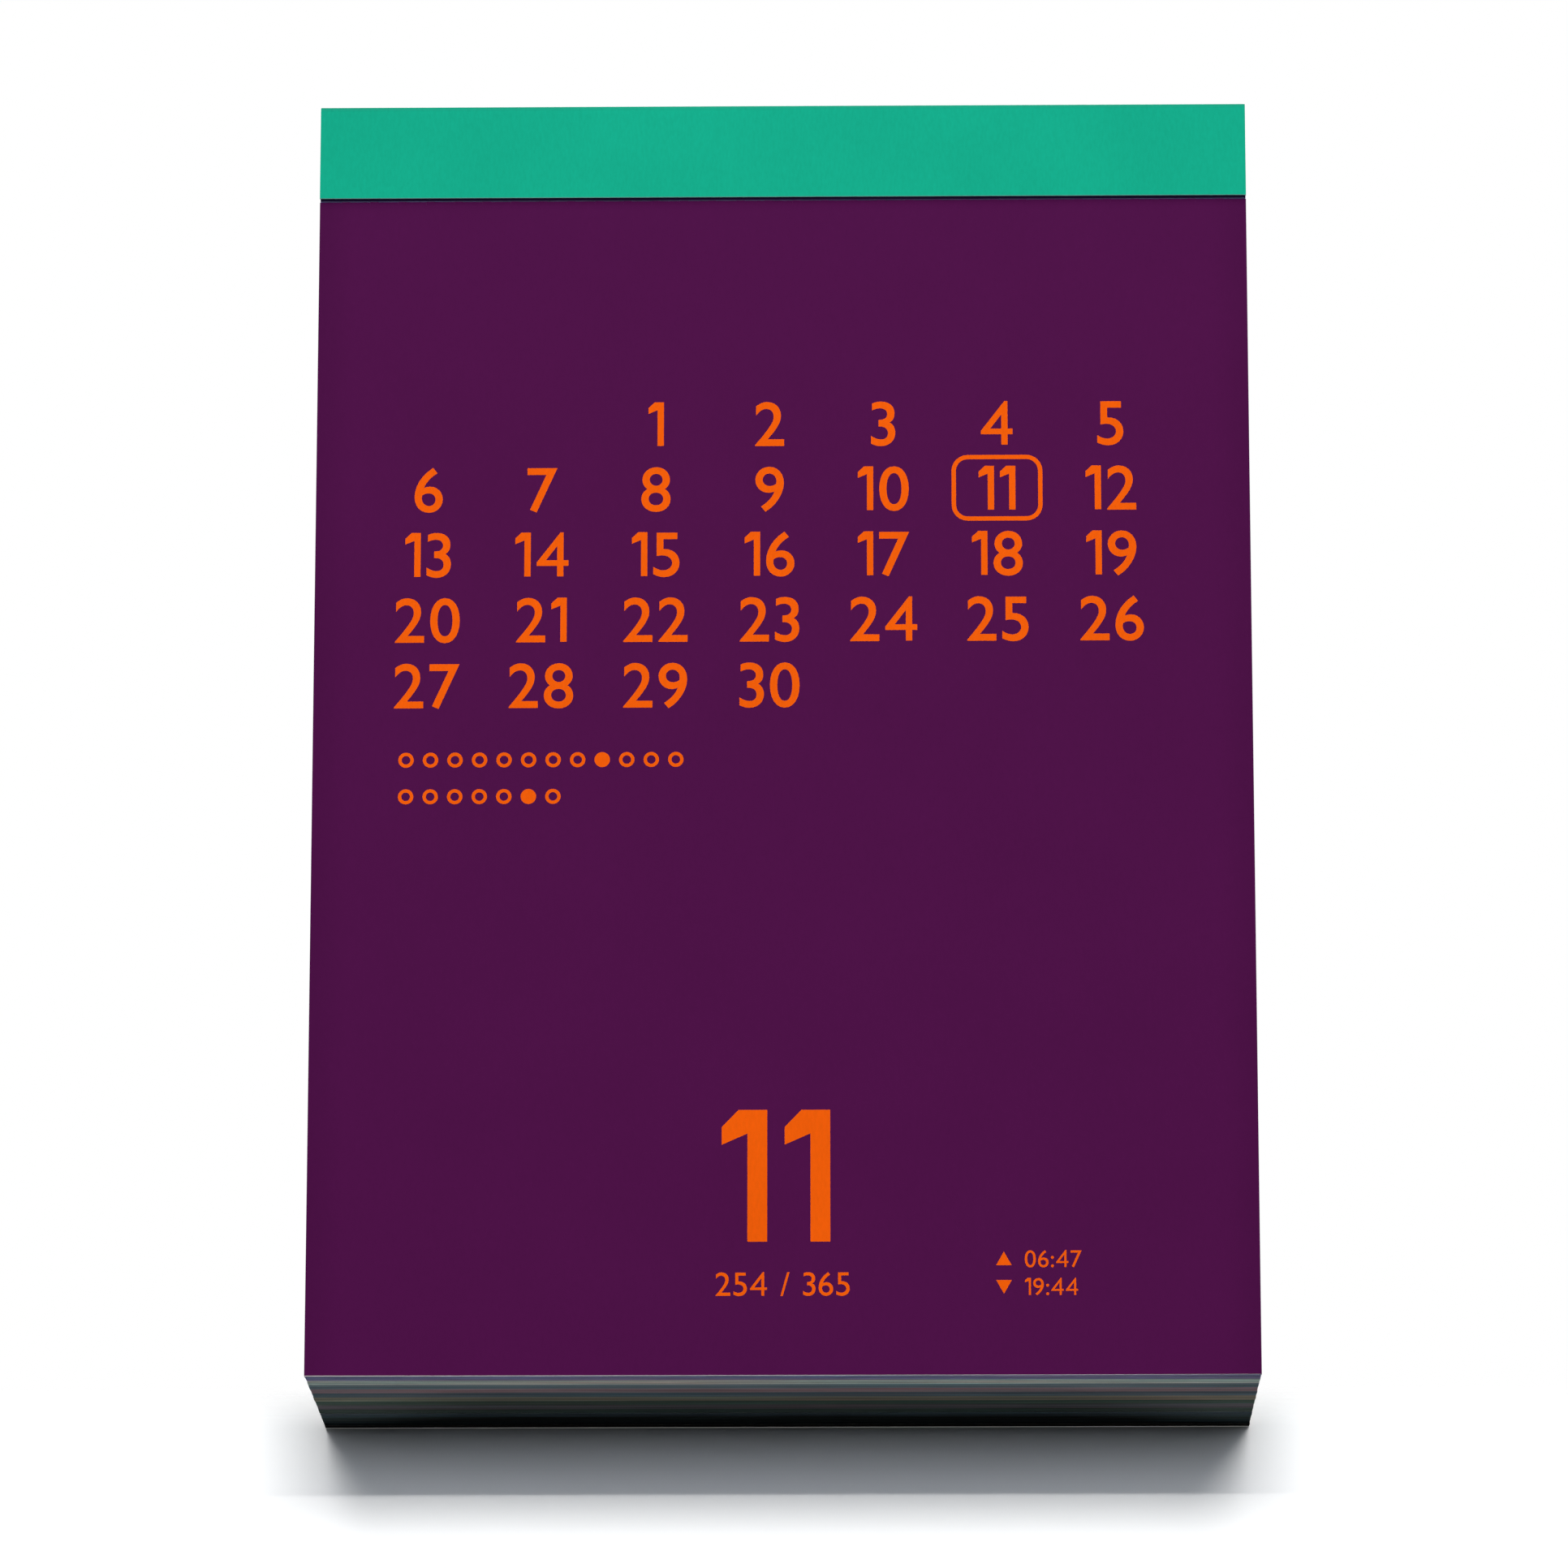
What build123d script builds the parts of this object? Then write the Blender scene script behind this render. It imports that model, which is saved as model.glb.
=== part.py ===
from build123d import *
import os

# Tear-off day calendar, in millimetres.
# X runs across the page, Z runs up, the printed face looks towards -Y.
# The origin lies on the foot plane, in the middle of the width and of the depth.

# Block
page_width = 115.0
block_height = 160.0
leaf_thickness = 0.1
single_leaf_count = 5
bundle_count = 12
leaves_per_bundle = 30
board_thickness = 2.0

# Head strip, folded round the head of the block, and the glue film under it
strip_thickness = 0.35
strip_front_height = 12.0
strip_rear_height = 12.0
glue_thickness = 0.3

# Perforated tear line, just below the strip's front edge
stub_drop = 0.35
tie_height = 0.5
tie_width = 1.0
tie_pitch = 3.5

# Flat block-stitching wires, two from the front and two from the back
wire_width = 1.0
wire_thickness = 0.7
wire_bend_radius = 0.8
wire_clearance = 0.05
staple_crown = 16.0
staple_drop = 6.0
staple_cover = 12.0
rear_staple_spacing = 24.0
staple_leg_gap = 6.0

# Easel tongue, die-cut inside the back board and scored along its crease
crease_height = 112.0
crease_depth = 0.4
flap_crease_width = 44.0
flap_foot_width = 56.0
flap_foot_height = 8.0
flap_corner_radius = 4.0
flap_kerf = 0.3
thumb_notch_radius = 9.0

# Hanging hole in the back board
hanging_hole_diameter = 8.0
hanging_hole_drop = 24.0

# Depths, from the front of the strip to its back
stack_depth = leaf_thickness * (single_leaf_count + bundle_count * leaves_per_bundle)
block_depth = stack_depth + board_thickness + 2 * strip_thickness
strip_front = -block_depth / 2
leaf_front = strip_front + strip_thickness
board_front = leaf_front + stack_depth
board_back = board_front + board_thickness
strip_back = board_back + strip_thickness

# Heights, from the foot to the head
stub_bottom = block_height - strip_front_height - stub_drop
leaf_top = stub_bottom - tie_height
head_top = block_height - strip_thickness - glue_thickness
staple_height = block_height - staple_drop
hanging_hole_height = block_height - hanging_hole_drop

# Half widths of the staple pattern: rear pair inside, front pair outside
rear_staple_x = rear_staple_spacing / 2
front_staple_x = rear_staple_x + staple_crown + staple_leg_gap

# Overrun of a cutting tool past the face it cuts
cut_overrun = 1.0


def slab(outline, front, back):
    # Carries an outline in X and Z from one depth to another
    return extrude(Plane.XZ.offset(-back) * outline, back - front)


def upright_rectangle(width, bottom, top):
    return Pos(0, (bottom + top) / 2) * Rectangle(width, top - bottom)


def tie_row():
    # Outlines of the uncut bridges between the perforation's slits
    count = int(page_width // tie_pitch)
    first = -(count - 1) * tie_pitch / 2
    middle = leaf_top + tie_height / 2
    tie = Rectangle(tie_width, tie_height)
    return [Pos(first + index * tie_pitch, middle) * tie for index in range(count)]


def leaf_outline():
    return upright_rectangle(page_width, 0, leaf_top)


def tied_leaf_outline():
    return leaf_outline() + tie_row()


def leaf_face(index):
    # Depth of the front face of a single leaf, counted from 0 at the front
    return leaf_front + index * leaf_thickness


def staple_path(crown_depth, leg_end):
    # U-shaped centre line in X and Y: one leg, the crown, the other leg
    half = staple_crown / 2
    return FilletPolyline(
        (-half, leg_end),
        (-half, crown_depth),
        (half, crown_depth),
        (half, leg_end),
        radius=wire_bend_radius,
    )


def flat_wire(path, gap):
    # Wire of the staple's own section, grown on every side by a gap
    start = Plane(origin=path @ 0, x_dir=(0, 0, 1), z_dir=path % 0)
    return sweep(start * Rectangle(wire_width + 2 * gap, wire_thickness + 2 * gap), path)


def staple_set(face, inward, leg_length, half_spacing):
    # Two wires sunk in the face, and the slots and leg holes that take them
    sunk = wire_thickness / 2 + wire_clearance
    crown_depth = face + inward * sunk
    leg_end = face + inward * leg_length
    hole_end = leg_end + inward * wire_clearance
    wire = flat_wire(staple_path(crown_depth, leg_end), 0)
    hole = flat_wire(staple_path(crown_depth, hole_end), wire_clearance)
    slot_gap = 2 * wire_clearance
    slot_length = staple_crown + wire_thickness + 2 * slot_gap
    slot_width = wire_width + 2 * slot_gap
    slot_depth = 2 * sunk + wire_clearance + cut_overrun
    slot_middle = face + inward * (slot_depth / 2 - cut_overrun)
    slot = Pos(0, slot_middle, 0) * Box(slot_length, slot_depth, slot_width)
    places = [Pos(side * half_spacing, 0, staple_height) for side in (-1, 1)]
    wires = [place * wire for place in places]
    cuts = [place * tool for place in places for tool in (hole, slot)]
    return wires, cuts


def head_strip():
    # U-shaped fold with the glue film's thickness as its inner radius
    front_edge = block_height - strip_front_height
    rear_edge = block_height - strip_rear_height
    inner_top = block_height - strip_thickness
    corners = [
        (strip_front, front_edge),
        (strip_front, block_height),
        (strip_back, block_height),
        (strip_back, rear_edge),
        (board_back, rear_edge),
        (board_back, inner_top),
        (leaf_front, inner_top),
        (leaf_front, front_edge),
    ]
    section = make_face(Polyline(*corners, close=True))
    inner_corners = section.vertices().group_by(Axis.Y)[-2]
    section = fillet(inner_corners, glue_thickness)
    outer_corners = section.vertices().group_by(Axis.Y)[-1]
    section = fillet(outer_corners, glue_thickness + strip_thickness)
    return extrude(Plane.YZ.offset(-page_width / 2) * section, page_width)


def flap_outline(gap):
    # Tapered tongue below the crease with round lower corners, grown by a gap at its sides and foot
    half_top = flap_crease_width / 2 + gap
    half_foot = flap_foot_width / 2 + gap
    foot = flap_foot_height - gap
    corners = [
        (-half_top, crease_height),
        (half_top, crease_height),
        (half_foot, foot),
        (-half_foot, foot),
    ]
    tongue = make_face(Polyline(*corners, close=True))
    return fillet(tongue.vertices().group_by(Axis.Y)[0], flap_corner_radius + gap)


def crease_score():
    # Square bar on its edge, which presses a V into the outer face along the crease
    side = crease_depth * 2**0.5
    return Pos(0, board_back, crease_height) * Rot(45, 0, 0) * Box(flap_crease_width, side, side)


def stand_flap():
    tongue = flap_outline(0)
    tongue -= Pos(0, flap_foot_height) * Circle(thumb_notch_radius)
    return slab(tongue, board_front, board_back) - crease_score()


def back_board(cuts):
    outline = upright_rectangle(page_width, 0, head_top)
    outline -= flap_outline(flap_kerf)
    outline -= Pos(0, hanging_hole_height) * Circle(hanging_hole_diameter / 2)
    return slab(outline, board_front, board_back) - cuts - crease_score()


def stub_pack(cuts):
    return slab(upright_rectangle(page_width, stub_bottom, head_top), leaf_front, board_front) - cuts


def head_glue():
    # Flat film over the leaf heads and the board, between the strip's two folds
    outline = upright_rectangle(page_width, head_top, head_top + glue_thickness)
    return slab(outline, leaf_front + glue_thickness, board_back - glue_thickness)


def build():
    front_legs = stack_depth - staple_cover
    rear_legs = stack_depth + board_thickness - staple_cover
    front_wires, front_cuts = staple_set(leaf_front, 1, front_legs, front_staple_x)
    rear_wires, rear_cuts = staple_set(board_back, -1, rear_legs, rear_staple_x)
    nodes = {
        "head_strip": head_strip(),
        "head_glue": head_glue(),
        "stub_pack": stub_pack(front_cuts + rear_cuts),
        "front_staples": Compound(children=front_wires),
        "rear_staples": Compound(children=rear_wires),
        "back_board": back_board(rear_cuts),
        "stand_flap": stand_flap(),
    }
    tied = tied_leaf_outline()
    ties = [slab(tie, leaf_face(0), leaf_face(1)) for tie in tie_row()]
    nodes["tear_ties"] = Compound(children=ties)
    for index in range(single_leaf_count):
        outline = tied if index else leaf_outline()
        nodes[f"leaf_{index + 1:02d}"] = slab(outline, leaf_face(index), leaf_face(index + 1))
    bundle_depth = leaves_per_bundle * leaf_thickness
    for index in range(bundle_count):
        front = leaf_face(single_leaf_count) + index * bundle_depth
        nodes[f"leaf_bundle_{index + 1:02d}"] = slab(tied, front, front + bundle_depth)
    return nodes


os.makedirs("parts", exist_ok=True)
for name, shape in build().items():
    export_step(shape, f"parts/{name}.step")
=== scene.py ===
import math
import bmesh
import bpy
import numpy as np
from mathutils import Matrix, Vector
from mathutils.geometry import tessellate_polygon


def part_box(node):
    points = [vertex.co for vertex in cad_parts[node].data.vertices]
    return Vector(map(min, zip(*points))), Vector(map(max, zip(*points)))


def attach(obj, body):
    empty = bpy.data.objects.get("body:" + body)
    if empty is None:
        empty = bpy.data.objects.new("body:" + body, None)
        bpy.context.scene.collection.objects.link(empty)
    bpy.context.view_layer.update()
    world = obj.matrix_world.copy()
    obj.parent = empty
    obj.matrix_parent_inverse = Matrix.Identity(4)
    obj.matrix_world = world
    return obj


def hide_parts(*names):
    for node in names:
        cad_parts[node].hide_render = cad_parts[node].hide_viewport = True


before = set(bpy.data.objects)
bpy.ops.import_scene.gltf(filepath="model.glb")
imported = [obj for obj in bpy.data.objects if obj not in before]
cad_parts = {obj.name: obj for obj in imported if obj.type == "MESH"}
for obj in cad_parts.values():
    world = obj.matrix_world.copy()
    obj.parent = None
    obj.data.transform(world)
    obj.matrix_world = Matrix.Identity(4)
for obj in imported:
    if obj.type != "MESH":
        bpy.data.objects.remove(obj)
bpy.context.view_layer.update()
mm = 0.001
tolerance = 1e-6  # room for rounding
sharpTurn = 30    # degrees; an edge that turns more is shaded as sharp


def nodeBox(name):
    # lowest and highest corner of a CAD node, in millimetres
    low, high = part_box(name)
    return np.array(low) / mm, np.array(high) / mm


def toLinear(red, green, blue):
    # screen colour, 0 to 255, as the linear colour that the shaders take
    share = np.array([red, green, blue]) / 255
    linear = np.where(share <= 0.04045, share / 12.92, ((share + 0.055) / 1.055) ** 2.4)
    return (*linear.tolist(), 1.0)


# Mesh tools

def gridQuads(rows, columns, closed=False):
    # quads between neighbouring rows and columns of a grid of points stored row after row;
    # a closed grid also joins its last column to its first
    row, column = np.indices((rows - 1, columns if closed else columns - 1))
    here = row * columns + column
    beside = row * columns + (column + 1) % columns
    return np.stack([here, beside, beside + columns, here + columns], axis=-1).reshape(-1, 4)


def spokes(angle):
    # points on the unit circle at some angles
    return np.column_stack([np.cos(angle), np.sin(angle)])


def placeObject(name, data):
    # a new object at the origin
    made = bpy.data.objects.new(name, data)
    bpy.context.scene.collection.objects.link(made)
    return made


def smoothFaces(mesh):
    mesh.polygons.foreach_set("use_smooth", np.ones(len(mesh.polygons), dtype=bool))
    mesh.set_sharp_from_angle(angle=math.radians(sharpTurn))


def makePiece(name, points, faces, materials, body, faceMaterial=None):
    # points in millimetres become a mesh in metres that rides on a body
    mesh = bpy.data.meshes.new(name)
    mesh.from_pydata((points * mm).tolist(), [], faces)
    for material in materials:
        mesh.materials.append(material)
    if faceMaterial is not None:
        mesh.polygons.foreach_set("material_index", np.asarray(faceMaterial, dtype=np.int32))
    smoothFaces(mesh)
    mesh.update()
    piece = placeObject(name, mesh)
    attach(piece, body)
    return piece


def extrudeOutline(outline, *holes):
    # a flat outline, counter-clockwise, carried from depth 0 to depth 1; holes run clockwise
    loops = [outline, *holes]
    flat = np.vstack(loops)
    count = len(flat)
    points = np.vstack([np.column_stack([flat, np.full(count, depth)]) for depth in (0.0, 1.0)])
    fill = np.array(tessellate_polygon([[Vector((x, y, 0.0)) for x, y in loop] for loop in loops]))
    across, along = flat[fill[:, 1]] - flat[fill[:, 0]], flat[fill[:, 2]] - flat[fill[:, 0]]
    turned = across[:, 0] * along[:, 1] < across[:, 1] * along[:, 0]
    fill[turned] = fill[turned, ::-1]
    faces = (fill + count).tolist() + fill[:, ::-1].tolist()
    first = 0
    for loop in loops:
        here = first + np.arange(len(loop))
        beside = np.roll(here, -1)
        faces += np.stack([here, beside, beside + count, here + count], axis=-1).tolist()
        first += len(loop)
    return points, faces


def carryAcross(section, across):
    # a closed section in depth and height, counter-clockwise as the right-hand end shows it, carried
    # through the places across the page
    count = len(section)
    points = np.column_stack([np.repeat(across, count), np.tile(section, (len(across), 1))])
    first = np.arange(count)
    last = first + (len(across) - 1) * count
    sides = gridQuads(len(across), count, closed=True)
    return points, sides.tolist() + [first[::-1].tolist(), last.tolist()]


# Shader tools

def feed(tree, value, socket):
    # links the socket of another node, or sets a fixed number, vector or colour
    if isinstance(value, bpy.types.NodeSocket):
        tree.links.new(value, socket)
    else:
        socket.default_value = value


def addNode(tree, kind, group=None, **inputs):
    # a node, or a placed group, with its sockets fed by name, underscores standing for blanks
    made = tree.nodes.new(kind)
    if group:
        made.node_tree = group
    for name, value in inputs.items():
        feed(tree, value, made.inputs[name.replace("_", " ")])
    return made


def addMath(tree, operation, *values):
    made = addNode(tree, "ShaderNodeMath")
    made.operation = operation
    for value, socket in zip(values, made.inputs):
        feed(tree, value, socket)
    return made.outputs["Value"]


def addRange(tree, value, interpolation="LINEAR", **limits):
    # a value carried from one range to another, each of them 0 to 1 unless a limit is given
    made = addNode(tree, "ShaderNodeMapRange", Value=value, **limits)
    made.interpolation_type = interpolation
    return made.outputs["Result"]


def addNoise(tree, place, stretch=(1.0, 1.0, 1.0), shift=(0.0, 0.0, 0.0), **inputs):
    # noise on stretched and shifted coordinates
    drawn = addNode(tree, "ShaderNodeMapping", Vector=place, Scale=stretch, Location=shift)
    return addNode(tree, "ShaderNodeTexNoise", Vector=drawn.outputs["Vector"], **inputs).outputs["Fac"]


def addMix(tree, factor, first, second, blend="MIX"):
    # first where the factor is 0, second or its blend with first where it is 1
    mix = addNode(tree, "ShaderNodeMix")
    mix.data_type = "RGBA"
    mix.blend_type = blend
    for value, index in ((factor, 0), (first, 6), (second, 7)):  # its colours stand behind other sockets
        feed(tree, value, mix.inputs[index])
    return mix.outputs[2]


def startGroup(name, inputs, outputs):
    # an empty shader group with float, vector or colour sockets
    tree = bpy.data.node_groups.new(name, "ShaderNodeTree")
    for direction, sockets in (("INPUT", inputs), ("OUTPUT", outputs)):
        for label, kind in sockets.items():
            tree.interface.new_socket(label, in_out=direction, socket_type=f"NodeSocket{kind}")
    return tree, tree.nodes.new("NodeGroupInput").outputs, tree.nodes.new("NodeGroupOutput").inputs


def makeGrain():
    # paper grain: a fine fibre noise, drawn out along Z, and a broad cloudy mottle
    tree, given, result = startGroup(
        "paperGrain",
        {"Vector": "Vector", "Fibre Scale": "Float", "Mottle Scale": "Float"},
        {"Fibre": "Float", "Mottle": "Float"},
    )
    place, drawOut = given["Vector"], (1.0, 1.0, 0.35)
    fibre = addNoise(tree, place, drawOut, Scale=given["Fibre Scale"], Detail=4.0, Roughness=0.6)
    mottle = addNoise(tree, place, Scale=given["Mottle Scale"], Detail=2.0, Roughness=0.5)
    feed(tree, fibre, result["Fibre"])
    feed(tree, mottle, result["Mottle"])
    return tree


def makeShade():
    # a colour times a factor, which goes from Low to High as the mask goes from From to To
    numbers = dict.fromkeys(("Mask", "From", "To", "Low", "High"), "Float")
    tree, given, result = startGroup("shadeBy", {"Color": "Color", **numbers}, {"Color": "Color"})
    span = {"From_Min": given["From"], "From_Max": given["To"]}
    factor = addRange(tree, given["Mask"], **span, To_Min=given["Low"], To_Max=given["High"])
    scale = addNode(tree, "ShaderNodeVectorMath")
    scale.operation = "SCALE"
    feed(tree, given["Color"], scale.inputs[0])
    feed(tree, factor, scale.inputs["Scale"])
    feed(tree, scale.outputs["Vector"], result["Color"])
    return tree


def makeEdgeFade():
    # a mask that climbs from 0 to 1 over the last stretch before an edge, the same on both sides of 0
    tree, given, result = startGroup(
        "edgeFade", {"Value": "Float", "Edge": "Float", "Reach": "Float"}, {"Mask": "Float"}
    )
    away = addMath(tree, "ABSOLUTE", given["Value"])
    begin = addMath(tree, "SUBTRACT", given["Edge"], given["Reach"])
    mask = addRange(tree, away, "SMOOTHSTEP", From_Min=begin, From_Max=given["Edge"])
    feed(tree, mask, result["Mask"])
    return tree


paperGrain = makeGrain()
shadeBy = makeShade()
edgeFade = makeEdgeFade()
noiseSpan = (0.3, 0.7)  # most of a noise lies between these
maskSpan = (0.0, 1.0)


def emptyTree(holder):
    # the cleared node tree of a material or a world
    holder.use_nodes = True
    holder.node_tree.nodes.clear()
    return holder.node_tree


def startMaterial(name, **inputs):
    # a material with its tree, its Principled shader and its Object coordinates
    material = bpy.data.materials.new(name)
    tree = emptyTree(material)
    shader = addNode(tree, "ShaderNodeBsdfPrincipled", **inputs)
    addNode(tree, "ShaderNodeOutputMaterial", Surface=shader.outputs["BSDF"])
    place = addNode(tree, "ShaderNodeTexCoord").outputs["Object"]
    return material, tree, shader, place


def addGrain(tree, place, fibreScale, mottleScale):
    # the fibre and the mottle of the paper grain
    scales = {"Fibre_Scale": fibreScale, "Mottle_Scale": mottleScale}
    grain = addNode(tree, "ShaderNodeGroup", paperGrain, Vector=place, **scales)
    return grain.outputs["Fibre"], grain.outputs["Mottle"]


def addShade(tree, color, mask, tones, span=noiseSpan):
    # the colour times a tone, which goes from the first to the second as the mask goes through the span
    limits = dict(zip(("From", "To", "Low", "High"), (*span, *tones)))
    return addNode(tree, "ShaderNodeGroup", shadeBy, Color=color, Mask=mask, **limits).outputs["Color"]


def addRoughness(tree, shader, mask, rough):
    limits = dict(zip(("From_Min", "From_Max", "To_Min", "To_Max"), (*noiseSpan, *rough)))
    feed(tree, addRange(tree, mask, **limits), shader.inputs["Roughness"])


def addBump(tree, shader, height, strength, depth):
    bump = addNode(tree, "ShaderNodeBump", Height=height, Strength=strength, Distance=depth * mm)
    feed(tree, bump.outputs["Normal"], shader.inputs["Normal"])


def addEdgeMask(tree, place, fades):
    # product of the fades along several axes; a fade is an axis, its edge and its reach in millimetres
    split = addNode(tree, "ShaderNodeSeparateXYZ", Vector=place)
    mask = 1.0
    for axis, edge, reach in fades:
        along = split.outputs[axis]
        fade = addNode(tree, "ShaderNodeGroup", edgeFade, Value=along, Edge=edge * mm, Reach=reach * mm)
        mask = addMath(tree, "MULTIPLY", mask, fade.outputs["Mask"])
    return mask


paperFinish = {
    "sheen": 0.04,
    "fibreScale": 3200.0,
    "mottleScale": 60.0,
    "bump": 0.06,
    "bumpDepth": 0.02,
}


def coatedPaper(name, color, fibre, mottle, rough, edges=(), edgeShadeTone=(1.0, 1.0)):
    # printed or plain paper: fibres and cloudy ink lay, which make it darker and lighter by a share, and
    # painted shade at its edges, a tone which goes from the first to the second as the mask of the edges
    # climbs
    value = paperFinish
    material, tree, shader, place = startMaterial(name, Specular_IOR_Level=value["sheen"])
    fibres, clouds = addGrain(tree, place, value["fibreScale"], value["mottleScale"])
    shaded = addShade(tree, color, fibres, (1 - fibre, 1 + fibre))
    shaded = addShade(tree, shaded, clouds, (1 - mottle, 1 + mottle))
    if edges:
        shaded = addShade(tree, shaded, addEdgeMask(tree, place, edges), edgeShadeTone, maskSpan)
    feed(tree, shaded, shader.inputs["Base Color"])
    addRoughness(tree, shader, fibres, rough)
    addBump(tree, shader, fibres, value["bump"], value["bumpDepth"])
    return material


# Finishes of the leaves and their print

halfWidth = nodeBox("leaf_bundle_01")[1][0]
leafFinishes = {
    "pageInk": {
        "color": toLinear(78, 18, 71),
        "fibre": 0.03,
        "mottle": 0.02,
        "rough": (0.5, 0.62),
        # painted shade: darker over the last 5 mm before the two side edges
        "edges": [("X", halfWidth, 5.0)],
        "edgeShadeTone": (1.0, 0.9),
    },
    "stubShadowInk": {  # the stub's bare line under the strip, inked dark as painted shadow of the strip
        "color": toLinear(24, 16, 42),
        "fibre": 0.03,
        "mottle": 0.02,
        "rough": (0.5, 0.62),
    },
    "printInk": {"color": toLinear(242, 94, 9), "fibre": 0.04, "mottle": 0.03, "rough": (0.45, 0.55)},
    "leafPaper": {"color": toLinear(210, 208, 203), "fibre": 0.04, "mottle": 0.02, "rough": (0.7, 0.85)},
}
pageInk, stubShadowInk, printInk, leafPaper = (
    coatedPaper(name, **finish) for name, finish in leafFinishes.items()
)

# One ink for each bundle of leaves, front to back, as its trimmed edge shows it
bundleInks = {
    "plum": (182, 172, 220),
    "sand": (252, 250, 246),
    "lagoon": (150, 164, 176),
    "rose": (192, 158, 168),
    "slate": (128, 140, 154),
    "clay": (176, 164, 150),
    "moss": (112, 130, 122),
    "mauve": (146, 134, 144),
    "pine": (112, 128, 123),
    "steel": (128, 144, 158),
    "fog": (126, 138, 140),
    "petrol": (108, 124, 134),
}
edgeFinish = {
    "rough": 0.85,
    "sheen": 0.02,
    "leafTone": (0.78, 1.22),             # every leaf has its own
    "streakScale": (45.0, 2600.0, 45.0),  # fine streaks along the edges
    "streakTone": (0.7, 1.3),
    "runScale": (28.0, 420.0, 28.0),      # broad runs along them, from a cool to a warm tint
    "cool": toLinear(190, 248, 246),
    "warm": toLinear(255, 220, 212),
    "bump": 0.25,
    "bumpDepth": 0.03,
}
stackFront = nodeBox("leaf_bundle_01")[0][1]
stackBack = nodeBox("leaf_bundle_12")[1][1]
leafThickness = nodeBox("leaf_01")[1][1] - nodeBox("leaf_01")[0][1]

# Painted shade on the foot: darker towards the back, less so at its two ends
paintedFootShade = {
    "level": (0.7, 0.2),     # heights where the painted shade begins and where it is full
    "middle": (0.2, 0.87),   # shares of the stack's depth, likewise, in the middle of the width
    "ends": (0.55, 0.98),    # and at the two ends
    "endReach": 25.0,
    "waver": 0.16,
    "tone": 0.05,
}


def addFootSoil(tree, place, height, depth, run):
    # painted shade by depth, drawn unevenly along the edges and held back at the ends, on the foot's own
    # edges only
    ends = addEdgeMask(tree, place, [("X", halfWidth, paintedFootShade["endReach"])])
    waver = addMath(tree, "MULTIPLY_ADD", run, paintedFootShade["waver"], -paintedFootShade["waver"] / 2)
    begin, full = (
        addMath(tree, "MULTIPLY_ADD", ends, end - middle, middle)
        for middle, end in zip(paintedFootShade["middle"], paintedFootShade["ends"])
    )
    inwards = addRange(tree, addMath(tree, "ADD", depth, waver), From_Min=begin, From_Max=full)
    top, bottom = paintedFootShade["level"]
    downwards = addRange(tree, height, From_Min=top * mm, From_Max=bottom * mm)
    return addMath(tree, "MULTIPLY", inwards, downwards)


def trimmedEdges():
    # the ink of each bundle by depth, then a tone of its own for every leaf, streaks that run along
    # the edges with a drift from cool to warm, and the painted shade of the foot
    value = edgeFinish
    gloss = {"Roughness": value["rough"], "Specular_IOR_Level": value["sheen"]}
    material, tree, shader, place = startMaterial("trimmedEdges", **gloss)
    split = addNode(tree, "ShaderNodeSeparateXYZ", Vector=place)
    depth = addRange(tree, split.outputs["Y"], From_Min=stackFront * mm, From_Max=stackBack * mm)
    ramp = addNode(tree, "ShaderNodeValToRGB", Fac=depth)
    ramp.color_ramp.interpolation = "CONSTANT"
    stops = ramp.color_ramp.elements
    while len(stops) < len(bundleInks):
        stops.new(0.5)
    for index, color in enumerate(bundleInks.values()):
        stops[index].position = index / len(bundleInks)
        stops[index].color = toLinear(*color)
    leafIndex = addMath(tree, "FLOOR", addMath(tree, "DIVIDE", split.outputs["Y"], leafThickness * mm))
    ownTone = addNode(tree, "ShaderNodeTexWhiteNoise")
    ownTone.noise_dimensions = "1D"
    feed(tree, leafIndex, ownTone.inputs["W"])
    streak = addNoise(tree, place, value["streakScale"], Scale=1.0, Detail=3.0)
    run = addNoise(tree, place, value["runScale"], Scale=1.0, Detail=2.0)
    tint = addMix(tree, run, value["cool"], value["warm"])
    shaded = addMix(tree, 1.0, ramp.outputs["Color"], tint, "MULTIPLY")
    shaded = addShade(tree, shaded, ownTone.outputs["Value"], value["leafTone"])
    shaded = addShade(tree, shaded, streak, value["streakTone"])
    # painted shade at the foot: darker towards the back, lighter at the two ends
    footShade = addFootSoil(tree, place, split.outputs["Z"], depth, run)
    shaded = addShade(tree, shaded, footShade, (1.0, paintedFootShade["tone"]), maskSpan)
    feed(tree, shaded, shader.inputs["Base Color"])
    addBump(tree, shader, streak, value["bump"], value["bumpDepth"])
    return material


edgeInk = trimmedEdges()
print("leaf finishes made")

# Block of leaves

leafShape = {
    "tiePitch": 3.5,
    "tieWidth": 1.0,
    "tieGap": 0.02,         # clear of a tie that belongs to another piece
    "slit": 0.05,           # opening of a perforation slit
    "rows": 30,
    "headRoom": 0.5,        # the even rows stop this far below the ties
    "burrAndHighlight": (0.06, 0.012),  # bare paper along the knife's cut at the foot, from the left to the right end, also a painted highlight of the lit edge
    "cornerLift": 0.2,      # the front leaf's free corners stand off the block by this much
    "liftReach": 30.0,
}
stubBottom = nodeBox("stub_pack")[0][2]
tieBottom = nodeBox("tear_ties")[0][2]
tieCount = int(2 * halfWidth // leafShape["tiePitch"])
tieCentres = (np.arange(tieCount) - (tieCount - 1) / 2) * leafShape["tiePitch"]


def perforationColumns():
    # places across the page: its two sides, a pair of points at each side of each tie, and the middle of
    # each slit, rounded so that no place comes twice
    half = leafShape["tieWidth"] / 2
    step = leafShape["tieGap"] / 2
    offsets = np.array([-half - step, -half, half, half + step])
    ties = (tieCentres[:, None] + offsets).ravel()
    gaps = tieCentres[:-1] + leafShape["tiePitch"] / 2
    return np.unique(np.concatenate([[-halfWidth], ties, gaps, [halfWidth]]).round(4))


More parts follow.
